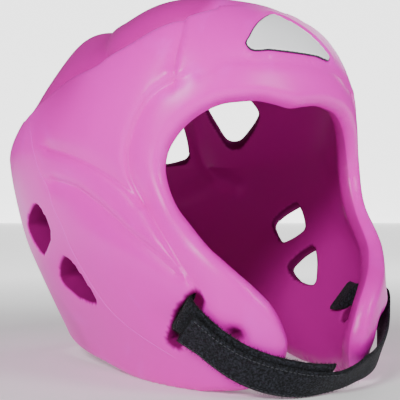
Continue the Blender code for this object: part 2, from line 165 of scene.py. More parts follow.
# Middle of the wall's edge on the wearer's left, from the brow round the face,
# the jaw pad and the neck to the nape: shares of half width, depth and height
EDGE = np.array([
    # across  along   up
    (0.000, -0.4765, 0.660),
    (0.092, -0.4746, 0.667),
    (0.183, -0.4668, 0.672),
    (0.275, -0.4570, 0.669),
    (0.367, -0.4414, 0.661),
    (0.440, -0.4277, 0.645),
    (0.505, -0.4102, 0.620),
    (0.555, -0.3945, 0.588),
    (0.587, -0.3828, 0.553),
    (0.603, -0.3828, 0.513),
    (0.600, -0.3945, 0.470),
    (0.583, -0.4141, 0.427),
    (0.545, -0.4492, 0.380),
    (0.495, -0.4922, 0.329),
    (0.425, -0.5273, 0.286),
    (0.350, -0.5508, 0.248),
    (0.278, -0.5703, 0.205),
    (0.230, -0.5781, 0.162),
    (0.203, -0.5820, 0.120),
    (0.210, -0.5820, 0.077),
    (0.255, -0.5742, 0.034),
    (0.325, -0.5430, 0.004),
    (0.395, -0.4883, -0.004),
    (0.450, -0.4102, -0.004),
    (0.495, -0.3125, -0.002),
    (0.540, -0.1953, 0.006),
    (0.565, -0.0781, 0.019),
    (0.555, 0.0391, 0.030),
    (0.500, 0.1523, 0.036),
    (0.365, 0.2422, 0.021),
    (0.185, 0.2852, 0.000),
    (0.000, 0.2969, -0.004),
])

# Corners of the openings on the inside of the wearer's left wall: degrees round
# and up, and how many degrees further back the corner lies on the outside
OPENINGS = {
    "back_vent": ((144, 12, 1), (165, 9, 1), (167, 33, 1), (148.5, 38, 1)),
    "crown_vent": ((102, 36, 3), (120.5, 20, 3), (127, 20.5, 3), (135, 44, 3), (109, 52, 3)),
    "ear_vent": ((85, -6, 3), (76, -17.5, 3), (90, -25.5, 4.5), (101, -15, 5)),
    "neck_vent": ((68.5, -22.5, 4), (81.5, -33.5, 4.5), (71.5, -37.5, 3.5), (57, -36, 3)),
    "strap_slot": ((26.3, -23.8, 0), (28.4, -22.6, 0), (32.3, -27.5, 0), (35.0, -35.8, 0),
                   (31.8, -36.4, 0), (29.3, -31, 0)),
}
CORNER_ROUND = 0.26      # share of a side taken up by the rounding of its corner
CORNER_STEPS = (0.0, 0.35, 0.65, 1.0)    # points along the rounding of a corner
LEAN_REACH = 1.1         # how far round an opening its lean is felt, shares of the wall
LEAN_BLEND = 0.35        # how far the lean of one edge point is felt, share of the wall
RIM_ROWS = (0.03, 0.10, 0.22, 0.38, 0.58, 0.80)  # rows of points, shares of RIM_ROUND
VENT_ROWS = (0.08, 0.25, 0.55, 0.90)     # rows of points, shares of VENT_ROUND

# Creases of the wearer's left half: depth, then the half widths on the first and
# second side of the line, all shares of the wall; then the line, degrees round and up
CREASES = {
    "crown_edge": (0.36, 0.12, 0.80, ((106, 23), (93, 27.5), (84, 31), (76, 34), (64, 35.5), (56, 37),
                                      (47, 38.5), (41, 40.5), (35, 42), (28, 44), (20, 46.5))),
    "crown_valley": (0.26, 0.40, 0.60, ((62, 40), (71, 50), (86, 61), (125, 72))),
    "face_frame": (0.20, 0.10, 0.42, ((33, 24.5), (38, 22), (42, 18), (44.7, 12.5), (46, 7), (45.5, 2),
                                      (42.5, -4), (39, -8.5), (35.5, -13), (31.5, -18), (28.5, -21.5))),
    "brow_line": (0.09, 0.42, 0.26, ((-26, 25.5), (-20, 28), (-10, 29), (10, 29), (20, 28), (26, 25.5))),
    "upper_fold": (0.17, 0.11, 0.42, ((78, 10), (66, 7), (58, 4), (51, 0.5), (46, -2.5), (42, -6))),
    "lower_fold": (0.18, 0.42, 0.12, ((75, 0.5), (64, -2), (56, -6), (49, -10), (44, -13), (38, -16),
                                      (32, -19.5))),
    "brow_groove": (0.17, 0.30, 0.10, ((30, 42), (31, 36), (32.5, 30), (33, 25))),
}
RIDGE_DROP = 1.0         # how far the painted highlight along the ridge lies below the crown's crease, degrees
RIDGE_REACH = 0.0016     # half width of the light ridge
CREASE_POWER = 1.3       # 2 is a soft hollow, 1 a sharp fold
CREASE_ROWS = (-1.5, -0.7, 0.7, 1.5)     # rows of points beside a crease, shares of its narrow half
CREASE_RADIUS = 0.12     # distance from the middle at which those rows are measured

# Deeper pink of the crown, partly painted shade: where it starts in front of its crease's line and behind
# it, degrees round and up, then over how many degrees it comes in
CROWN_FRONT = ((0.0, 62.0), (14.0, 52.0))
CROWN_BACK = ((125.0, 34.0), (180.0, 50.0))
CROWN_FADE = ((0.0, 16.0), (14.0, 13.0), (26.0, 2.5), (98.0, 2.5), (116.0, 14.0), (180.0, 16.0))
CROWN_EARLY = 0.5        # it starts this many degrees below the line

# Raised pads and, with a rise below zero, dents: middle in degrees, reach and rise
# in shares of the wall
PADS = (
    # round   up   reach  rise
    (99.0, 56.0, 1.90, 0.46),
    (34.0, 25.8, 0.30, 0.10),
    (23.5, -25.6, 0.45, 0.12),
    (20.2, -29.4, 0.34, -0.50),
    (35.5, -31.5, 0.70, -0.20),
    (27.0, -29.0, 0.80, -0.10),
)
POCKET = -0.3            # a dent deeper than this gets painted shade as a dark pocket

# Parting line of the mould, wearer's left, degrees round and up
PARTING = ((99, 22), (93, 18.5), (89, 15), (86, 10), (83, 4), (78, -3), (76, -8), (72, -13), (68, -20),
           (64, -26), (60, -31), (55, -35), (47, -37.5), (39, -38.5), (31, -39))
PARTING_RADIUS = 0.00030
PARTING_SINK = 0.25      # how deep its middle lies in the skin, share of its radius
TUBE_TIP = 0.1           # radius of a cord's end, share of the full radius
TUBE_GROWTH = 0.3        # share of the full radius gained with each point from an end

# Raised bands on the inside between the vents: rise and half width in shares of
# the wall, then the line, degrees round and up
RIBS = (
    (0.26, 0.50, ((139, 50), (141, 34), (140, 18), (134, 6), (122, 0))),
    (0.12, 0.60, ((172, 40), (172, 20), (168, 2), (150, -4), (132, 2))),
)
RIB_CLEAR = 1.2          # the bands fade out this near an opening, shares of the wall
RIB_FROM = 0.6           # they start where the wall has this share of its thickness

# Upper edge of the strap from the left slot to the middle of the chin, then the
# direction of its lower edge: degrees, and height over the skin in shares of the wall
STRAP = np.array([
    # round    up    lift  round    up    lift
    (37.4, -26.8, -1.18, 41.5, -39.6, -1.18),
    (31.6, -25.2, -1.12, 37.2, -37.4, -1.12),
    (28.9, -23.9, -0.60, 35.4, -36.5, -0.60),
    (28.8, -23.9, -0.22, 35.2, -36.5, -0.22),
    (28.2, -24.2, 0.05, 34.6, -36.4, 0.05),
    (26.9, -25.1, 0.13, 32.8, -36.3, 0.13),
    (24.6, -26.7, 0.12, 29.4, -36.6, 0.12),
    (21.6, -28.4, 0.11, 25.4, -37.0, 0.11),
    (17.8, -29.9, 0.12, 20.4, -37.4, 0.12),
    (13.8, -30.8, 0.18, 15.8, -37.6, 0.12),
    (9.6, -31.3, 0.34, 10.6, -37.4, 0.04),
    (5.0, -31.8, 0.50, 5.4, -37.2, -0.12),
    (0.0, -32.0, 0.56, 0.0, -36.9, -0.24),
])
INNER_END = -0.018       # where the inner half ends, from the middle, share of the half loop
OUTER_END = 0.570        # the outer half ends this far along the other cheek
LAYER_RISE = 0.165       # share of the half loop over which the outer half climbs
OUTER_SLIP = 0.18        # share of its width by which the outer half sits lower there
SLACK = 0.16             # how far the strap stands off the left jaw, share of the wall
SLACK_AT = 0.33          # where it stands off most, share of the half loop
FLARE_FROM = 0.458       # where it starts to widen, share of the half loop
FLARE_OVER = 0.229       # length over which it widens, share of the half loop
STRAP_STATIONS = 260     # cross sections along each strap half
STRAP_ACROSS = 14        # points across each face of the strap
BORDER_POWER = 9         # how square the strap's borders are
BORDER_LEAST = 0.03      # square of the least share of its thickness, at the borders

# Loose fibres of the strap
FIBRE_RADIUS = 0.00007
FIBRE_LENGTH = 0.0015
FIBRE_TAPER = ((0.0, 1.0), (0.5, 0.8), (1.0, 0.2))   # place along a fibre and its thickness there
FUZZ_FROM = -0.73        # fibres along the inner half's borders run from here to its end
FUZZ_TO = 0.15           # those along the outer half's run from its end to here
INNER_FIBRES = 1500      # along the borders of the inner half
OUTER_FIBRES = 900       # along the borders of the outer half
UPPER_SHARE = 0.75       # share of them at the upper border
PILE_FROM = -0.79        # the inner half's open face carries fibres from here
PILE_TO = -0.46
PILE_FIBRES = 2200
END_FIBRES = 600         # at the outer half's cut end

# Stitches of the outer half
STITCH = 0.0024          # from one stitch to the next
STITCH_SHOWN = 0.7       # share of it that the thread lies on top
STITCH_RADIUS = 0.00022
STITCH_BORDERS = (0.09, 0.91)    # the two rows, shares of the strap's width
STITCH_FROM = 0.015      # how far from the cut end the rows start, share of the half loop
STITCH_TO = 0.02         # where they end
STITCH_STATIONS = 400
STITCH_STEPS = 4         # lengths in a stitch
STITCH_SIDES = 6

# Forehead plate: half outline in degrees round and up
LABEL = ((0, 45.4), (4, 43.8), (8, 41.3), (11.4, 38.4), (14, 35.3), (15.6, 32.7), (15, 31.7),
         (8, 31.6), (0, 31.6))
LABEL_TURN = 2.5         # how far the plate sits towards the wearer's left, degrees
LABEL_POLE = (0.0, 40.0) # direction that the plate's map is laid out from
LABEL_NEAR = 0.9         # cosine of the angle from it within which the plate lies
LABEL_ROWS = (0.12, 0.35, 0.7)   # rows of points in from its edge, shares of its thickness
LABEL_FLAT = 0.35        # share of its thickness left as the flat of its edge
SEAT_MARGIN = 0.0016     # the foam's recess ends this far beyond the plate
SEAT_SLOPE = 0.0022      # width of the recess's slope
LIP_RISE = 0.35          # the foam swells round the recess, share of its depth
LIP_AT = 0.0035          # middle of the swelling, beyond the plate
LIP_REACH = 0.003        # half width of the swelling

MIRROR = np.array([-1.0, 1.0, 1.0])


def turned(u, angle):
    """Directions turned about the upright by angles in degrees."""
    a = np.radians(angle)
    x, y = u[:, 0], u[:, 1]
    return np.stack([x * np.cos(a) - y * np.sin(a), x * np.sin(a) + y * np.cos(a), u[:, 2]], axis=-1)


def bow(x, xs, ys):
    """Smooth curve through the rows of a table."""
    slope = np.gradient(ys, xs)
    i = np.clip(np.searchsorted(xs, x) - 1, 0, len(xs) - 2)
    h = xs[i + 1] - xs[i]
    t = np.clip((x - xs[i]) / h, 0.0, 1.0)
    a = (2 * t**3 - 3 * t**2 + 1) * ys[i] + (t**3 - 2 * t**2 + t) * h * slope[i]
    return a + (3 * t**2 - 2 * t**3) * ys[i + 1] + (t**3 - t**2) * h * slope[i + 1]


def gauge(p):
    """One on the outside of the plain head form, less inside it."""
    x, y, z = p[..., 0], p[..., 1], p[..., 2]
    level = z / HEIGHT
    half, front, back, widest, n_front, n_back = [
        bow(level, SECTIONS[:, 0], SECTIONS[:, c]) for c in range(1, 7)]
    middle = widest * DEPTH
    facing = y < middle
    reach = np.where(facing, middle - front * DEPTH, back * DEPTH - middle)
    power = np.where(facing, n_front, n_back)
    ring = ((np.abs(x) / (half * WIDTH / 2)) ** power
            + (np.abs(y - middle) / reach) ** power) ** (1 / power)
    turn = np.degrees(np.arctan2(np.abs(x), middle - y))
    close = bow(turn, SHOULDER[:, 0], SHOULDER[:, 1])
    top = bow(y / DEPTH, CROWN[:, 0], CROWN[:, 1]) * HEIGHT
    start = DOME_FROM * HEIGHT
    rise = np.clip((z - start) / (top - start), 0.0, None)
    rise = rise**2 * (1 + DOME_EASE) / (rise + DOME_EASE)
    return (ring**close + rise**close) ** (1 / close)


def unit(v):
    """Vectors scaled to a length of one."""
    return v / np.linalg.norm(v, axis=-1, keepdims=True)


def smooth(t):
    """Eased step from 0 to 1."""
    s = np.clip(t, 0.0, 1.0)
    return s * s * (3 - 2 * s)


def heading(turn, lift):
    """Direction from the middle of the head; turn 0 is the face, 90 the left ear."""
    a = np.radians(np.asarray(turn, float))
    e = np.radians(np.asarray(lift, float))
    return np.stack([np.sin(a) * np.cos(e), -np.cos(a) * np.cos(e), np.sin(e)], axis=-1)


def outward(p):
    """Outward normal of the form through each point."""
    slope = [gauge(p + s) - gauge(p - s) for s in np.eye(3) * SLOPE_STEP]
    return unit(np.stack(slope, axis=-1))


def run_along(points):
    """Length of a line up to each of its points."""
    return np.concatenate([[0.0], np.cumsum(np.linalg.norm(np.diff(points, axis=0), axis=1))])


def form(u):
    """Point of the plain form in each direction and its outward normal."""
    low = np.full(u.shape[:-1], SEARCH_FROM)
    high = np.full(u.shape[:-1], SEARCH_TO)
    for _ in range(SEARCH_STEPS):
        mid = (low + high) / 2
        inside = gauge(CENTRE + mid[..., None] * u) < 1.0
        low = np.where(inside, mid, low)
        high = np.where(inside, high, mid)
    p = CENTRE + low[..., None] * u
    return p, outward(p)


def surface_line(rows, spacing, closed=False):
    """Smooth evenly stepped line on the form through rows of degrees."""
    a = np.array(rows, float)
    p, _ = form(heading(a[:, 0], a[:, 1]))
    return even(p, spacing, closed)


def mirrored(points):
    """Closed left-right loop from the points of one half, first and last on the middle."""
    other = points[-2:0:-1] * MIRROR
    return np.concatenate([points, other])


def even(points, spacing, closed=True):
    """Smooth line through the points with even steps."""
    q = np.concatenate([points[-2:], points, points[:3]]) if closed else points
    t = run_along(q)
    first, last = (t[2], t[-3]) if closed else (t[0], t[-1])
    count = max(4, int(round((last - first) / spacing)))
    if closed:
        count += count % 2
    at = first + (last - first) * np.arange(count + (0 if closed else 1)) / count
    return np.stack([bow(at, t, q[:, c]) for c in range(3)], axis=-1)


def reach_to(p, line, closed, normal=None):
    """Distance from each point to a line, and on which side of it the point lies."""
    a = line if closed else line[:-1]
    b = np.roll(line, -1, axis=0) if closed else line[1:]
    best = np.full(len(p), np.inf)
    side = np.ones(len(p))
    for start, end in zip(a, b):
        run = end - start
        off = p - start
        t = np.clip((off @ run) / (run @ run), 0.0, 1.0)
        away = np.linalg.norm(off - t[:, None] * run, axis=1)
        near = away < best
        best = np.where(near, away, best)
        if normal is not None:
            turn = (np.cross(run, off) * normal).sum(axis=1)
            side = np.where(near, np.sign(turn), side)
    return (best, side) if normal is not None else best


def rounded(corners):
    """Opening's outline in degrees, its corners eased, with the lean of each point."""
    c = np.array(corners, float)
    out = []
    for i in range(len(c)):
        before = c[i] + (c[i - 1] - c[i]) * CORNER_ROUND
        after = c[i] + (c[(i + 1) % len(c)] - c[i]) * CORNER_ROUND
        for t in CORNER_STEPS:
            out.append((1 - t) ** 2 * before + 2 * t * (1 - t) * c[i] + t**2 * after)
    return np.array(out)


def edge_loop():
    """Directions round the whole edge of the wall, evenly spaced."""
    half = EDGE * np.array([WIDTH / 2, DEPTH, HEIGHT])
    loop = even(mirrored(half + outward(half) * WALL / 2), EDGE_FACET)
    return unit(loop - CENTRE)


def opening_loops():
    """Outlines of all openings as directions, with their leans: left side, then right."""
    left = []
    leans = []
    for corners in OPENINGS.values():
        rows = rounded(corners)
        p, _ = form(heading(rows[:, 0], rows[:, 1]))
        line = even(p, EDGE_FACET)
        nearest = np.linalg.norm(line[:, None] - p[None], axis=2).argmin(axis=1)
        left.append(unit(line - CENTRE))
        leans.append(rows[nearest, 2])
    right = [loop[::-1] * MIRROR for loop in left]
    return left + right, leans + [-lean[::-1] for lean in leans]


def crease_rise(p, normal):
    """How far the creases lower the skin, both sides of the head."""
    rise = np.zeros(len(p))
    for depth, first, second, rows in CREASES.values():
        line = surface_line(rows, 3 * CREASE_FACET)
        for mirror in (1.0, -1.0):
            q = p * np.array([mirror, 1.0, 1.0])
            n = normal * np.array([mirror, 1.0, 1.0])
            near = np.linalg.norm(q - line.mean(axis=0), axis=1) < np.ptp(line, axis=0).max() + 3 * WALL
            away, side = reach_to(q[near], line, False, n[near])
            half = np.where(side > 0, first, second) * WALL
            rise[near] -= depth * WALL * np.exp(-(away / half) ** CREASE_POWER)
            if rows[0][0] < 0:
                break
    return rise


def pad_rise(p):
    """How far the pads and dents raise the skin."""
    rise = np.zeros(len(p))
    for turn, lift, reach, height in PADS:
        for side in (1.0, -1.0):
            q, _ = form(heading(side * turn, lift))
            away = np.linalg.norm(p - q, axis=1) / (reach * WALL)
            rise += height * WALL * np.exp(-away**2)
    return rise


def label_rise(p):
    """The shallow seat of the forehead plate."""
    line = label_loop(4 * LABEL_FACET)
    away = reach_to(p, line, True)
    flat = flat_map(unit(p - CENTRE), heading(*LABEL_POLE))
    inside = within(flat, flat_map(unit(line - CENTRE), heading(*LABEL_POLE)))
    signed = np.where(inside, -away, away)
    lip = LIP_RISE * LABEL_SINK * np.exp(-((signed - LIP_AT) / LIP_REACH) ** 2)
    return lip - LABEL_SINK * smooth((SEAT_MARGIN - signed) / SEAT_SLOPE)


def rib_rise(p):
    """How far the inside bands stand in from the wall."""
    rise = np.zeros(len(p))
    for height, half, rows in RIBS:
        line = surface_line(rows, 3 * CREASE_FACET)
        for mirror in (1.0, -1.0):
            away = reach_to(p * np.array([mirror, 1.0, 1.0]), line, False) / (half * WALL)
            rise += height * WALL * np.exp(-away**2)
    return rise


def flat_map(u, pole):
    """Stereographic map of directions about the pole."""
    across = unit(np.cross(pole, [0.0, 0.0, 1.0]))
    upward = np.cross(across, pole)
    return np.stack([u @ across, u @ upward], axis=-1) / (1.0 + u @ pole)[..., None]


def within(points, loop):
    """Even-odd test of map points against a closed loop."""
    x, y = points[:, 0], points[:, 1]
    inside = np.zeros(len(points), bool)
    for (ax, ay), (bx, by) in zip(loop, np.roll(loop, -1, axis=0)):
        if ay != by:
            crosses = (ay > y) != (by > y)
            inside ^= crosses & (x < (bx - ax) * (y - ay) / (by - ay) + ax)
    return inside


def sprinkle(spacing):
    """Evenly spread directions over the whole head."""
    gap = spacing / HEAD_RADIUS
    count = int(4 * math.pi / (gap**2 * TRIANGLE_HEIGHT))
    k = np.arange(count) + 0.5
    lift = np.degrees(np.arcsin(1 - 2 * k / count))
    return heading(k * GOLDEN_ANGLE, lift)


def moved(loop, centre_side, distance):
    """Loop of directions shifted sideways over the surface, metres."""
    along = unit(np.roll(loop, -1, axis=0) - np.roll(loop, 1, axis=0))
    sideways = np.cross(loop, along) * centre_side
    p, _ = form(loop)
    away = np.linalg.norm(p - CENTRE, axis=1)[:, None]
    return unit(loop + sideways * distance / away)


def winding(loop, pole):
    """Plus one when the loop runs anticlockwise in the map."""
    m = flat_map(loop, pole)
    n = np.roll(m, -1, axis=0)
    return 1.0 if (m[:, 0] * n[:, 1] - n[:, 0] * m[:, 1]).sum() > 0 else -1.0


def rounding(away, reach, flat):
    """Share of the full thickness near a rounded edge."""
    t = np.clip(away / reach, 0.0, 1.0)
    return flat + (1 - flat) * np.sqrt(np.clip(1 - (1 - t) ** 2, 0.0, 1.0))


def clear_of(new, old, gap):
    """The new directions that stay clear of the old ones."""
    if not len(new):
        return new
    tree = kdtree.KDTree(len(old))
    for i, q in enumerate(old):
        tree.insert(Vector(q), i)
    tree.balance()
    return new[np.array([tree.find(Vector(q))[2] > gap for q in new])]


def triangulate(loops, groups, pole, gap):
    """Triangles between the outer loop and the openings, and all points' directions."""
    outer = flat_map(loops[0], pole)
    holes = [flat_map(loop, pole) for loop in loops[1:]]
    placed = np.concatenate(loops)
    for group, share in groups:
        m = flat_map(group, pole)
        ok = within(m, outer)
        for hole in holes:
            ok &= ~within(m, hole)
        placed = np.concatenate([placed, clear_of(group[ok], placed, gap * share)])
    m = flat_map(placed, pole)
    edges = []
    start = 0
    for loop in loops:
        edges += [(start + i, start + (i + 1) % len(loop)) for i in range(len(loop))]
        start += len(loop)
    _, _, faces, origin, _, _ = delaunay_2d_cdt([Vector(q) for q in m], edges, [], 0, MAP_TOLERANCE)
    back = [min(ids) if ids else -1 for ids in origin]
    faces = np.array([[back[i] for i in f] for f in faces])
    faces = faces[(faces >= 0).all(axis=1)]
    middle = m[faces].mean(axis=1)
    ok = within(middle, outer)
    for hole in holes:
        ok &= ~within(middle, hole)
    return placed, faces[ok]


def closed_skin(faces, base):
    """Faces of the outside, the inside and the strips along the edges."""
    a, b, c = base[faces[:, 0]], base[faces[:, 1]], base[faces[:, 2]]
    outward = (np.cross(b - a, c - a) * (a - CENTRE)).sum(axis=1) > 0
    faces = np.where(outward[:, None], faces, faces[:, ::-1])
    n = len(base)
    directed = {(int(f[i]), int(f[(i + 1) % 3])) for f in faces for i in range(3)}
    strips = [(j, i, i + n, j + n) for i, j in directed if (j, i) not in directed]
    return [tuple(f) for f in faces.tolist()] + [tuple(f) for f in (faces[:, ::-1] + n).tolist()] + strips


def add_object(name, data):
    """New object in the scene."""
    obj = bpy.data.objects.new(name, data)
    bpy.context.scene.collection.objects.link(obj)
    return obj


def new_mesh(name, verts, faces, material):
    """Smoothly shaded object from points and faces, placed with the part."""
    mesh = bpy.data.meshes.new(name)
    mesh.from_pydata((verts + np.array([0.0, SHIFT, 0.0])).tolist(), [], faces)
    mesh.update()
    mesh.polygons.foreach_set("use_smooth", [True] * len(mesh.polygons))
    obj = add_object(name, mesh)
    mesh.materials.append(material)
    return obj


def mark(obj, name, values):
    """Store a number for each point for the materials to read."""
    layer = obj.data.attributes.new(name, "FLOAT", "POINT")
    layer.data.foreach_set("value", np.asarray(values, dtype=np.float32))


def build_shell(material):
    """The moulded foam: outside, inside, rounded rims and vents."""
    pole = heading(*POLE)
    edge = edge_loop()
    openings, leans = opening_loops()
    side = winding(edge, pole)
    groups = []
    for share in RIM_ROWS:
        groups.append((moved(edge, side, RIM_ROUND * share), EDGE_GAP))
    for share in VENT_ROWS:
        rings = [moved(loop, -winding(loop, pole), VENT_ROUND * share) for loop in openings]
        groups.append((np.concatenate(rings), EDGE_GAP))
    for _, first, second, rows in CREASES.values():
        line = surface_line(rows, CREASE_FACET)
        u = unit(line - CENTRE)
        sideways = np.cross(u, unit(np.gradient(u, axis=0)))
        rows_beside = [u]
        for k in CREASE_ROWS:
            rows_beside.append(unit(u + sideways * k * min(first, second) * WALL / CREASE_RADIUS))
        beside = np.concatenate(rows_beside)
        if rows[0][0] > 0:
            beside = np.concatenate([beside, beside * MIRROR])
        groups.append((beside, CREASE_GAP))
    groups.append((sprinkle(FACET), OPEN_GAP))
    u, faces = triangulate([edge] + openings, groups, pole, FACET / HEAD_RADIUS)

    base, normal = form(u)
    edge_line, _ = form(edge)
    share = rounding(reach_to(base, edge_line, True), RIM_ROUND, RIM_FLAT)
    back = np.zeros(len(u))
    vent = np.ones(len(u))
    for loop, lean in zip(openings, leans):
        line, _ = form(loop)
        away = reach_to(base, line, True)
        share = np.minimum(share, rounding(away, VENT_ROUND, VENT_FLAT))
        vent = np.minimum(vent, smooth(away / (RIB_CLEAR * WALL)))
        gap = np.linalg.norm(base[:, None] - line[None], axis=2)
        weight = np.exp(-(gap / (LEAN_BLEND * WALL)) ** 2) + TINY
        lean_here = (weight * lean).sum(axis=1) / weight.sum(axis=1)
        back += lean_here * np.exp(-(away / (LEAN_REACH * WALL)) ** 2)
    rib = rib_rise(base) * vent * smooth((share - RIB_FROM) / (1 - RIB_FROM))
    inside = base - normal * (WALL / 2 * (1 + share) + rib)[:, None]
    base, normal = form(turned(u, back))
    rise = crease_rise(base, normal) + pad_rise(base) + label_rise(base)
    rise *= np.clip((share - RIM_FLAT) / (1 - RIM_FLAT), 0.0, 1.0)
    outside = base - normal * (WALL / 2 * (1 - share) - rise)[:, None]
    verts = np.concatenate([outside, inside])
    verts[:, 2] = np.maximum(verts[:, 2], 0.0)
    shell = new_mesh("shell_skin", verts, closed_skin(faces, base), material)
    # deeper pink on the crown, partly painted shade
    crown = crown_deep_and_shade_tone(base)
    mark(shell, "crown", np.concatenate([crown, 0 * crown]))
    # painted highlight along the ridge under the crown
    ridge = ridge_highlight_tone(base)
    mark(shell, "ridge", np.concatenate([ridge, 0 * ridge]))
    mark(shell, "inner", np.concatenate([0 * crown, 1 + 0 * crown]))
    # painted shade in the strap pockets and on the walls of all openings
    hole = pocket_shade_tone(base)
    hole[len(edge):len(edge) + sum(len(loop) for loop in openings)] = 1.0
    mark(shell, "hole", np.concatenate([hole, (hole == 1.0) * 1.0]))
    return shell


def pocket_shade_tone(p):
    """Painted shade: near one in the small pockets beside the strap."""
    tone = np.zeros(len(p))
    for turn, lift, reach, height in PADS:
        if height < POCKET:
            for side in (1.0, -1.0):
                q, _ = form(heading(side * turn, lift))
                away = np.linalg.norm(p - q, axis=1) / (reach * WALL)
                tone = np.maximum(tone, 0.99 * np.exp(-away**4))
    return tone


def ridge_highlight_tone(p):
    """One along the painted highlight of the ridge under the crown."""
    rows = np.array(CREASES["crown_edge"][3], float) - np.array([0.0, RIDGE_DROP])
    line = surface_line(rows, 3 * CREASE_FACET)
    away = np.minimum(reach_to(p, line, False), reach_to(p * MIRROR, line, False))
    return np.exp(-(away / RIDGE_REACH) ** 2)


def crown_deep_and_shade_tone(p):
    """One on the crown lobes, whose deeper pink is partly painted shade, zero below their edge."""
    line = np.concatenate([CROWN_FRONT, CREASES["crown_edge"][3][::-1], CROWN_BACK])
    fade = np.array(CROWN_FADE)
    u = unit(p - CENTRE)
    turn = np.degrees(np.arctan2(np.abs(u[:, 0]), -u[:, 1]))
    lift = np.degrees(np.arcsin(u[:, 2]))
    limit = np.interp(turn, line[:, 0], line[:, 1])
    reach = np.interp(turn, fade[:, 0], fade[:, 1])
    return smooth((lift - limit + CROWN_EARLY) / reach)


def build_parting(material):
    """The fine raised line where the mould's halves met, one each side."""
    made = []
    for name, mirror in (("parting_line_left", 1.0), ("parting_line_right", -1.0)):
        line = surface_line(PARTING, 2 * CREASE_FACET)
        base, normal = form(unit(line - CENTRE))
        rise = crease_rise(base, normal) + pad_rise(base)
        p = (base + normal * (rise - PARTING_SINK * PARTING_RADIUS)[:, None]) * np.array([mirror, 1.0, 1.0])
        made.append(tube(name, p, PARTING_RADIUS, material))
    return made


def tube(name, points, radius, material):
    """Thin round cord along the points, its ends drawn to a point."""
    curve = bpy.data.curves.new(name, "CURVE")
    curve.dimensions = "3D"
    curve.bevel_depth = radius
    curve.bevel_resolution = 2
    spline = curve.splines.new("POLY")
    spline.points.add(len(points) - 1)
    for i, q in enumerate(points):
        spline.points[i].co = (q[0], q[1] + SHIFT, q[2], 1.0)
        from_end = min(i, len(points) - 1 - i)
        spline.points[i].radius = min(1.0, TUBE_TIP + TUBE_GROWTH * from_end)
    curve.materials.append(material)
    return add_object(name, curve)


def label_loop(spacing):
    """Outline of the forehead plate on the form."""
    a = np.array(LABEL, float)
    rows = np.concatenate([a, a[-2:0:-1] * np.array([-1.0, 1.0])])
    p, _ = form(heading(rows[:, 0] + LABEL_TURN, rows[:, 1]))
    return even(p, spacing)


def build_label(material):
    """The bare plate on the brow, its edge rounded over."""
    pole = heading(*LABEL_POLE)
    line = label_loop(LABEL_FACET)
    loop = unit(line - CENTRE)
    fill = sprinkle(LABEL_FACET)
    fill = fill[fill @ pole > LABEL_NEAR]
    side = winding(loop, pole)
    groups = [(moved(loop, side, k * LABEL_THICK), LABEL_EDGE_GAP) for k in LABEL_ROWS]
    groups.append((fill, LABEL_OPEN_GAP))
    u, faces = triangulate([loop], groups, pole, LABEL_FACET / HEAD_RADIUS)
    base, normal = form(u)
    away = reach_to(base, line, True)
    top = LABEL_THICK * rounding(away, LABEL_THICK, LABEL_FLAT)
    seat = -LABEL_SINK + LABEL_GAP
    verts = np.concatenate([base + normal * (seat + top)[:, None], base + normal * seat])
    label = new_mesh("brow_plate", verts, closed_skin(faces, base), material)
    mark(label, "rim", np.concatenate([away, 0 * away]))
    return label


def strap_path(t):
    """Upper edge and width direction at t, from -1 in the right slot to 1 in the left."""
    xs = np.linspace(-1.0, 1.0, 2 * len(STRAP) - 1)
    mirror = STRAP[:-1] * np.array([-1.0, 1.0, 1.0, -1.0, 1.0, 1.0])
    ys = np.concatenate([mirror, STRAP[::-1]])
    col = [bow(t, xs, ys[:, c]) for c in range(6)]
    slack = SLACK * np.exp(-((t - SLACK_AT) / (SLACK_AT / 2)) ** 2)
    edges = []
    for k in (0, 3):
        p, n = form(heading(col[k], col[k + 1]))
        edges.append(p + n * ((col[k + 2] + slack) * WALL)[:, None])
    return edges[0], unit(edges[1] - edges[0])


def strap_frame(t, lift, slip):
    """Upper edge, width vector and outward normal of a strap half at t."""
    upper, down = strap_path(t)
    centre = upper + down * STRAP_WIDTH / 2
    out = unit(np.cross(down, unit(np.gradient(centre, axis=0))))
    width = STRAP_WIDTH * (1 + STRAP_FLARE * np.clip((np.abs(t) - FLARE_FROM) / FLARE_OVER, 0.0, 1.0))
    top = upper + down * (slip(t) * STRAP_WIDTH)[:, None] + out * lift(t)[:, None]
    return top, down * width[:, None], out


def climb(t):
    """How far the outer half has climbed onto the inner one, 0 to 1."""
    return smooth((LAYER_RISE + INNER_END - t) / LAYER_RISE)


def no_lift(t):
    """Zero all along the strap."""
    return 0.0 * t


def outer_lift(t):
    """How far the outer half stands off the inner one's level."""
    return (STRAP_THICK + LAYER_GAP) * climb(t)


def outer_slip(t):
    """How far the outer half sits lower, share of its width."""
    return OUTER_SLIP * climb(t)


def build_strap(name, start, stop, lift, slip, material):
    """One webbing half with rounded borders."""
    t = np.linspace(start, stop, STRAP_STATIONS)
    top, width, out = strap_frame(t, lift, slip)
    run = run_along(top + width / 2)
    s = np.linspace(0.0, 1.0, STRAP_ACROSS)
    half = STRAP_THICK / 2 * np.sqrt(np.clip(1 - np.abs(2 * s - 1) ** BORDER_POWER, BORDER_LEAST, 1.0))
    outline = [(a, STRAP_THICK / 2 - h) for a, h in zip(s, half)]
    outline += [(a, STRAP_THICK / 2 + h) for a, h in zip(s[::-1], half[::-1])]
    rings = [top + width * a + out * h for a, h in outline]
    verts = np.stack(rings, axis=1).reshape(-1, 3)
    n = len(outline)
    faces = []
    for i in range(STRAP_STATIONS - 1):
        for k in range(n):
            a = n * i + k
            b = n * i + (k + 1) % n
            faces.append((a, a + n, b + n, b))
    end = n * (STRAP_STATIONS - 1)
    faces.append(tuple(range(n)))
    faces.append(tuple(end + k for k in reversed(range(n))))
    strap = new_mesh(name, verts, faces, material)
    mark(strap, "along", np.repeat(run, n))
    mark(strap, "across", np.tile([a * STRAP_WIDTH for a, _ in outline], STRAP_STATIONS))
    return strap


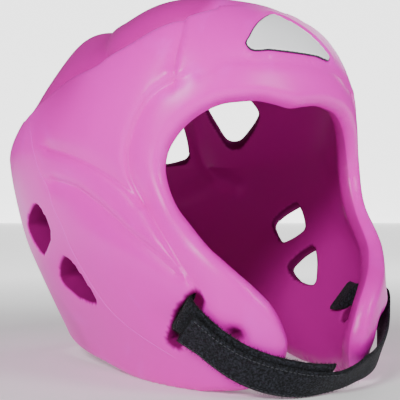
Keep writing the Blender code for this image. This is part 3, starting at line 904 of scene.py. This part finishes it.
def build_fuzz(name, roots, leans, length, material, rng):
    """Short loose fibres that stand out of the webbing."""
    verts = []
    faces = []
    for root, lean in zip(roots, leans):
        bend = unit(rng.normal(size=3)) * 0.5
        reach = length * rng.uniform(0.4, 1.0)
        side = unit(np.cross(lean, [0.3, 0.5, 0.8]))
        other = np.cross(unit(lean), side)
        start = len(verts)
        for step, thin in FIBRE_TAPER:
            p = root + (lean + bend * step) * reach * step
            for k in range(3):
                turn = 2 * math.pi * k / 3
                q = p + (side * math.cos(turn) + other * math.sin(turn)) * FIBRE_RADIUS * thin
                verts.append(np.array([q[0], q[1], max(q[2], 0.0)]))
        for ring in (0, 3):
            for k in range(3):
                a = start + ring + k
                b = start + ring + (k + 1) % 3
                faces.append((a, b, b + 3, a + 3))
        faces.append((start + 6, start + 7, start + 8))
    return new_mesh(name, np.array(verts), faces, material)


def strap_fuzz(material):
    """Fibres along both halves' borders, on the inner one's face and at the cut end."""
    rng = np.random.default_rng(7)
    roots = []
    leans = []
    spans = (
        (FUZZ_FROM, INNER_END, no_lift, no_lift, INNER_FIBRES),
        (-OUTER_END, FUZZ_TO, outer_lift, outer_slip, OUTER_FIBRES),
    )
    for start, stop, lift, slip, count in spans:
        t = np.sort(rng.uniform(start, stop, count))
        top, width, out = strap_frame(t, lift, slip)
        for i in range(count):
            upper = rng.random() < UPPER_SHARE
            place = 0.01 if upper else 0.99
            way = -unit(width[i]) if upper else unit(width[i])
            roots.append(top[i] + width[i] * place + out[i] * STRAP_THICK * rng.uniform(0.2, 0.9))
            leans.append(unit(way + out[i] * rng.uniform(-0.1, 0.8) + rng.normal(size=3) * 0.35))
    t = np.sort(rng.uniform(PILE_FROM, PILE_TO, PILE_FIBRES))
    top, width, out = strap_frame(t, no_lift, no_lift)
    for i in range(PILE_FIBRES):
        roots.append(top[i] + width[i] * rng.uniform(0.02, 0.98) + out[i] * STRAP_THICK * 0.9)
        leans.append(unit(out[i] + rng.normal(size=3) * 0.6))
    t = np.array([-OUTER_END, -OUTER_END + 0.01])
    top, width, out = strap_frame(t, outer_lift, outer_slip)
    back = unit(top[0] - top[1])
    for _ in range(END_FIBRES):
        place = rng.uniform(0.02, 0.98)
        roots.append(top[0] + width[0] * place + out[0] * STRAP_THICK * rng.uniform(0.1, 0.9))
        leans.append(unit(back + rng.normal(size=3) * 0.4))
    return build_fuzz("strap_fuzz", roots, leans, FIBRE_LENGTH, material, rng)


def strap_stitches(material):
    """Rows of stitches just inside the borders of the outer half."""
    t = np.linspace(-OUTER_END + STITCH_FROM, STITCH_TO, STITCH_STATIONS)
    top, width, out = strap_frame(t, outer_lift, outer_slip)
    verts = []
    faces = []
    for place in STITCH_BORDERS:
        line = top + width * place + out * (STRAP_THICK + 0.3 * STITCH_RADIUS)
        run = run_along(line)
        at = 0.0
        while at + STITCH * STITCH_SHOWN < run[-1]:
            i = int(np.searchsorted(run, at))
            side = unit(width[i])
            start = len(verts)
            for k in range(STITCH_STEPS + 1):
                along = at + STITCH * STITCH_SHOWN * k / STITCH_STEPS
                middle = np.array([np.interp(along, run, line[:, c]) for c in range(3)])
                radius = STITCH_RADIUS * (0.35 if k in (0, STITCH_STEPS) else 1.0)
                for j in range(STITCH_SIDES):
                    turn = 2 * math.pi * j / STITCH_SIDES
                    verts.append(middle + (side * math.cos(turn) + out[i] * math.sin(turn)) * radius)
            for k in range(STITCH_STEPS):
                for j in range(STITCH_SIDES):
                    a = start + STITCH_SIDES * k + j
                    b = start + STITCH_SIDES * k + (j + 1) % STITCH_SIDES
                    faces.append((a, b, b + STITCH_SIDES, a + STITCH_SIDES))
            last = start + STITCH_SIDES * STITCH_STEPS
            faces.append(tuple(start + j for j in reversed(range(STITCH_SIDES))))
            faces.append(tuple(last + j for j in range(STITCH_SIDES)))
            at += STITCH
    return new_mesh("strap_stitches", np.array(verts), faces, material)


def new_material(name):
    """Material with its node tree and its shader."""
    material = bpy.data.materials.new(name)
    material.use_nodes = True
    tree = material.node_tree
    return material, tree, tree.nodes["Principled BSDF"]


def node(tree, kind, **values):
    """Add a node and set its inputs by name."""
    made = tree.nodes.new(kind)
    for key, value in values.items():
        made.inputs[key.replace("_", " ")].default_value = value
    return made


def read_mark(tree, name):
    """Socket with the number stored for each point under a name."""
    made = tree.nodes.new("ShaderNodeAttribute")
    made.attribute_name = name
    return made.outputs["Fac"]


def blend_colour(tree, factor, first, second):
    """Colour between two, by a factor socket; each may be a colour or a socket."""
    mix = tree.nodes.new("ShaderNodeMix")
    mix.data_type = "RGBA"
    tree.links.new(factor, mix.inputs[0])
    for socket, colour in ((mix.inputs[6], first), (mix.inputs[7], second)):
        if isinstance(colour, tuple):
            socket.default_value = (*colour, 1.0)
        else:
            tree.links.new(colour, socket)
    return mix.outputs[2]


def ramp(tree, source, low, high):
    """Map a socket's range low to high onto 0 to 1."""
    made = node(tree, "ShaderNodeMapRange", From_Min=low, From_Max=high)
    made.interpolation_type = "SMOOTHSTEP"
    tree.links.new(source, made.inputs["Value"])
    return made.outputs["Result"]


def scaled(tree, source, factor):
    """Socket with a source's value times a factor."""
    made = tree.nodes.new("ShaderNodeMath")
    made.operation = "MULTIPLY"
    made.inputs[1].default_value = factor
    tree.links.new(source, made.inputs[0])
    return made.outputs[0]


def noise(tree, scale, detail, distortion=0.0):
    """Socket with a cloudy pattern over the piece."""
    made = node(tree, "ShaderNodeTexNoise", Scale=scale, Detail=detail, Distortion=distortion)
    tree.links.new(tree.nodes.new("ShaderNodeTexCoord").outputs["Object"], made.inputs["Vector"])
    return made.outputs["Fac"]


def add_bump(tree, shader, height, distance, strength, below=None):
    """Fine relief on a shader, over the relief below it where there is one."""
    bump = node(tree, "ShaderNodeBump", Strength=strength, Distance=distance)
    tree.links.new(height, bump.inputs["Height"])
    if below is not None:
        tree.links.new(below, bump.inputs["Normal"])
    tree.links.new(bump.outputs["Normal"], shader.inputs["Normal"])
    return bump.outputs["Normal"]


def foam_material():
    """Satin skin of moulded foam with faint flow marks."""
    material, tree, shader = new_material("foam")
    flow = noise(tree, scale=14.0, detail=3.0, distortion=2.2)
    patch = noise(tree, scale=9.0, detail=1.5, distortion=0.6)
    colour = blend_colour(tree, ramp(tree, flow, 0.50, 0.72), FOAM, FOAM_FLOW)
    colour = blend_colour(tree, ramp(tree, patch, 0.54, 0.78), colour, FOAM_DEEP_AND_SHADE)
    # deeper pink on the crown, partly painted shade
    colour = blend_colour(tree, scaled(tree, read_mark(tree, "crown"), 0.95), colour, FOAM_DEEP_AND_SHADE)
    # painted highlight along the ridge under the crown
    colour = blend_colour(tree, scaled(tree, read_mark(tree, "ridge"), 0.6), colour, FOAM_RIDGE_HIGHLIGHT)
    colour = blend_colour(tree, ramp(tree, read_mark(tree, "inner"), 0.35, 0.95), colour, FOAM_SHADE)
    # painted shade on the openings' walls and in the strap pockets
    colour = blend_colour(tree, ramp(tree, read_mark(tree, "hole"), 0.0, 1.0), colour, FOAM_HOLE_SHADE)
    tree.links.new(colour, shader.inputs["Base Color"])
    for socket, open_skin, in_hole in (("Roughness", 0.35, 0.90), ("Specular IOR Level", 0.36, 0.02)):
        dull = node(tree, "ShaderNodeMapRange", To_Min=open_skin, To_Max=in_hole)
        tree.links.new(read_mark(tree, "hole"), dull.inputs["Value"])
        tree.links.new(dull.outputs["Result"], shader.inputs[socket])
    shader.inputs["Subsurface Weight"].default_value = 0.06
    shader.inputs["Subsurface Radius"].default_value = (0.004, 0.0015, 0.003)
    shader.inputs["Subsurface Scale"].default_value = 1.0
    wave = add_bump(tree, shader, noise(tree, scale=55.0, detail=1.0), distance=0.0008, strength=0.22)
    grain = noise(tree, scale=1400.0, detail=2.0)
    add_bump(tree, shader, grain, distance=0.00006, strength=0.35, below=wave)
    return material


def plate_material():
    """Glossy white plate with a fine dark outline."""
    material, tree, shader = new_material("plate")
    rim = ramp(tree, read_mark(tree, "rim"), 0.00050, 0.00075)
    colour = blend_colour(tree, rim, PLATE_RIM, PLATE)
    tree.links.new(colour, shader.inputs["Base Color"])
    shader.inputs["Roughness"].default_value = 0.22
    return material


def strap_material(name, fuzz):
    """Dark webbing; fuzz is how much looped pile covers the weave."""
    material, tree, shader = new_material(name)
    place = tree.nodes.new("ShaderNodeCombineXYZ")
    tree.links.new(read_mark(tree, "along"), place.inputs["X"])
    tree.links.new(read_mark(tree, "across"), place.inputs["Y"])
    weave = node(tree, "ShaderNodeTexWave", Scale=330.0, Distortion=0.6)
    weave.wave_type = "BANDS"
    weave.bands_direction = "DIAGONAL"
    tree.links.new(place.outputs[0], weave.inputs["Vector"])
    pile = noise(tree, scale=900.0, detail=5.0, distortion=0.4)
    dark = blend_colour(tree, ramp(tree, pile, 0.35, 0.75), WEBBING_DARK, WEBBING_LIGHT)
    tree.links.new(dark, shader.inputs["Base Color"])
    shader.inputs["Roughness"].default_value = 0.82
    shader.inputs["Specular IOR Level"].default_value = 0.25
    shader.inputs["Sheen Weight"].default_value = 0.12 * fuzz
    shader.inputs["Sheen Roughness"].default_value = 0.4
    ribs = add_bump(tree, shader, weave.outputs["Fac"], distance=0.00022, strength=0.6 * (1.2 - fuzz))
    add_bump(tree, shader, pile, distance=0.0008, strength=0.7 * fuzz + 0.2, below=ribs)
    return material


def plain_material(name, colour, rough):
    """One even colour."""
    material, _, shader = new_material(name)
    shader.inputs["Base Color"].default_value = (*colour, 1.0)
    shader.inputs["Roughness"].default_value = rough
    return material


def add_area(name, place, side, watts):
    """Soft square light at a place, aimed at the guard."""
    data = bpy.data.lights.new(name, "AREA")
    data.size = side
    data.energy = watts
    lamp = add_object(name, data)
    lamp.location = place
    lamp.rotation_euler = (Vector(LIT_POINT) - Vector(place)).to_track_quat("-Z", "Y").to_euler()


def glow_material(name, near, far, start, stop):
    """Pale matt surface whose glow changes with the distance from its origin."""
    material, tree, shader = new_material(name)
    shader.inputs["Base Color"].default_value = (*SET_PALE, 1.0)
    shader.inputs["Roughness"].default_value = 0.9
    shader.inputs["Emission Color"].default_value = (1.0, 1.0, 1.0, 1.0)
    away = tree.nodes.new("ShaderNodeVectorMath")
    away.operation = "LENGTH"
    tree.links.new(tree.nodes.new("ShaderNodeTexCoord").outputs["Object"], away.inputs[0])
    made = node(tree, "ShaderNodeMapRange", From_Min=start, From_Max=stop, To_Min=near, To_Max=far)
    tree.links.new(away.outputs["Value"], made.inputs["Value"])
    tree.links.new(made.outputs["Result"], shader.inputs["Emission Strength"])
    return material


def add_plane(name, corners, material):
    """Flat four-sided surface of the set."""
    mesh = bpy.data.meshes.new(name)
    mesh.from_pydata(corners, [], [(0, 1, 2, 3)])
    mesh.materials.append(material)
    plane = add_object(name, mesh)


def add_studio():
    """Pale floor and wall, soft lights and the photograph's camera."""
    r = FLOOR_REACH
    add_plane("floor", [(-r, -r, 0), (r, -r, 0), (r, r, 0), (-r, r, 0)], glow_material("floor", *FLOOR_GLOW))
    a = math.radians(CAMERA_TURN)
    ahead = np.array([math.sin(a), math.cos(a), 0.0]) * BACKDROP_AWAY
    aside = np.array([math.cos(a), -math.sin(a), 0.0]) * BACKDROP_HALF
    top = np.array([0.0, 0.0, BACKDROP_HIGH])
    corners = (ahead - aside, ahead + aside, ahead + aside + top, ahead - aside + top)
    add_plane("backdrop", [tuple(q) for q in corners], glow_material("backdrop", *BACKDROP_GLOW))

    world = bpy.data.worlds.new("studio")
    bpy.context.scene.world = world
    world.use_nodes = True
    sky = world.node_tree.nodes["Background"]
    sky.inputs["Color"].default_value = (1.0, 1.0, 1.0, 1.0)
    sky.inputs["Strength"].default_value = SKY
    for name, place, side, watts in LIGHTS:
        add_area(name, place, side, watts)

    camera = add_object("camera", bpy.data.cameras.new("camera"))
    camera.data.sensor_width = SENSOR_WIDTH
    camera.data.lens = FOCAL / PHOTO_SIDE * SENSOR_WIDTH
    camera.data.shift_y = (HORIZON - PHOTO_SIDE / 2) / PHOTO_SIDE
    camera.location = (-CAMERA_AWAY * math.sin(a) - CAMERA_ASIDE * math.cos(a),
                       -CAMERA_AWAY * math.cos(a) + CAMERA_ASIDE * math.sin(a) + SHIFT, CAMERA_UP)
    camera.rotation_euler = (math.pi / 2, 0.0, -a)
    bpy.context.scene.camera = camera


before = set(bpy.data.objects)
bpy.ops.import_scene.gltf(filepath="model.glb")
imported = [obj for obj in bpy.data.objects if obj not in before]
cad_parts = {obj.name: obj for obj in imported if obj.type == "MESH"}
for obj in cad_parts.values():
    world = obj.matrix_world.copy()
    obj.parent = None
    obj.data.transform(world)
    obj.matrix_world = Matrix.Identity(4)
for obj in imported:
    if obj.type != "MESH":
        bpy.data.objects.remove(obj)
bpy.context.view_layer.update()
# The guard lies as far back in the frame as the shell that it dresses
back_rows = heading(np.full(60, 180.0), np.linspace(0.0, 40.0, 60))
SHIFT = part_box("shell")[1][1] - float(form(back_rows)[0][:, 1].max())

foam = foam_material()
shell = build_shell(foam)
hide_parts("shell")
plate = build_label(plate_material())
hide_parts("forehead_label")
webbing = strap_material("webbing", 0.5)
pile = strap_material("pile", 1.0)
inner = build_strap("strap_inner_webbing", -1.0, INNER_END, no_lift, no_lift, pile)
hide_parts("strap_inner")
outer = build_strap("strap_outer_webbing", -OUTER_END, 1.0, outer_lift, outer_slip, webbing)
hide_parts("strap_outer")
lines = build_parting(plain_material("foam_line", FOAM_LINE, rough=0.4))
fuzz = strap_fuzz(plain_material("fuzz", FIBRE, rough=0.9))
stitches = strap_stitches(plain_material("thread", THREAD, rough=0.8))
for piece, name in ((shell, "foam"), (plate, "plate"), (inner, "strap"), (outer, "strap"), (fuzz, "strap"),
                    (stitches, "strap"), (lines[0], "foam"), (lines[1], "foam")):
    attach(piece, "root")
add_studio()
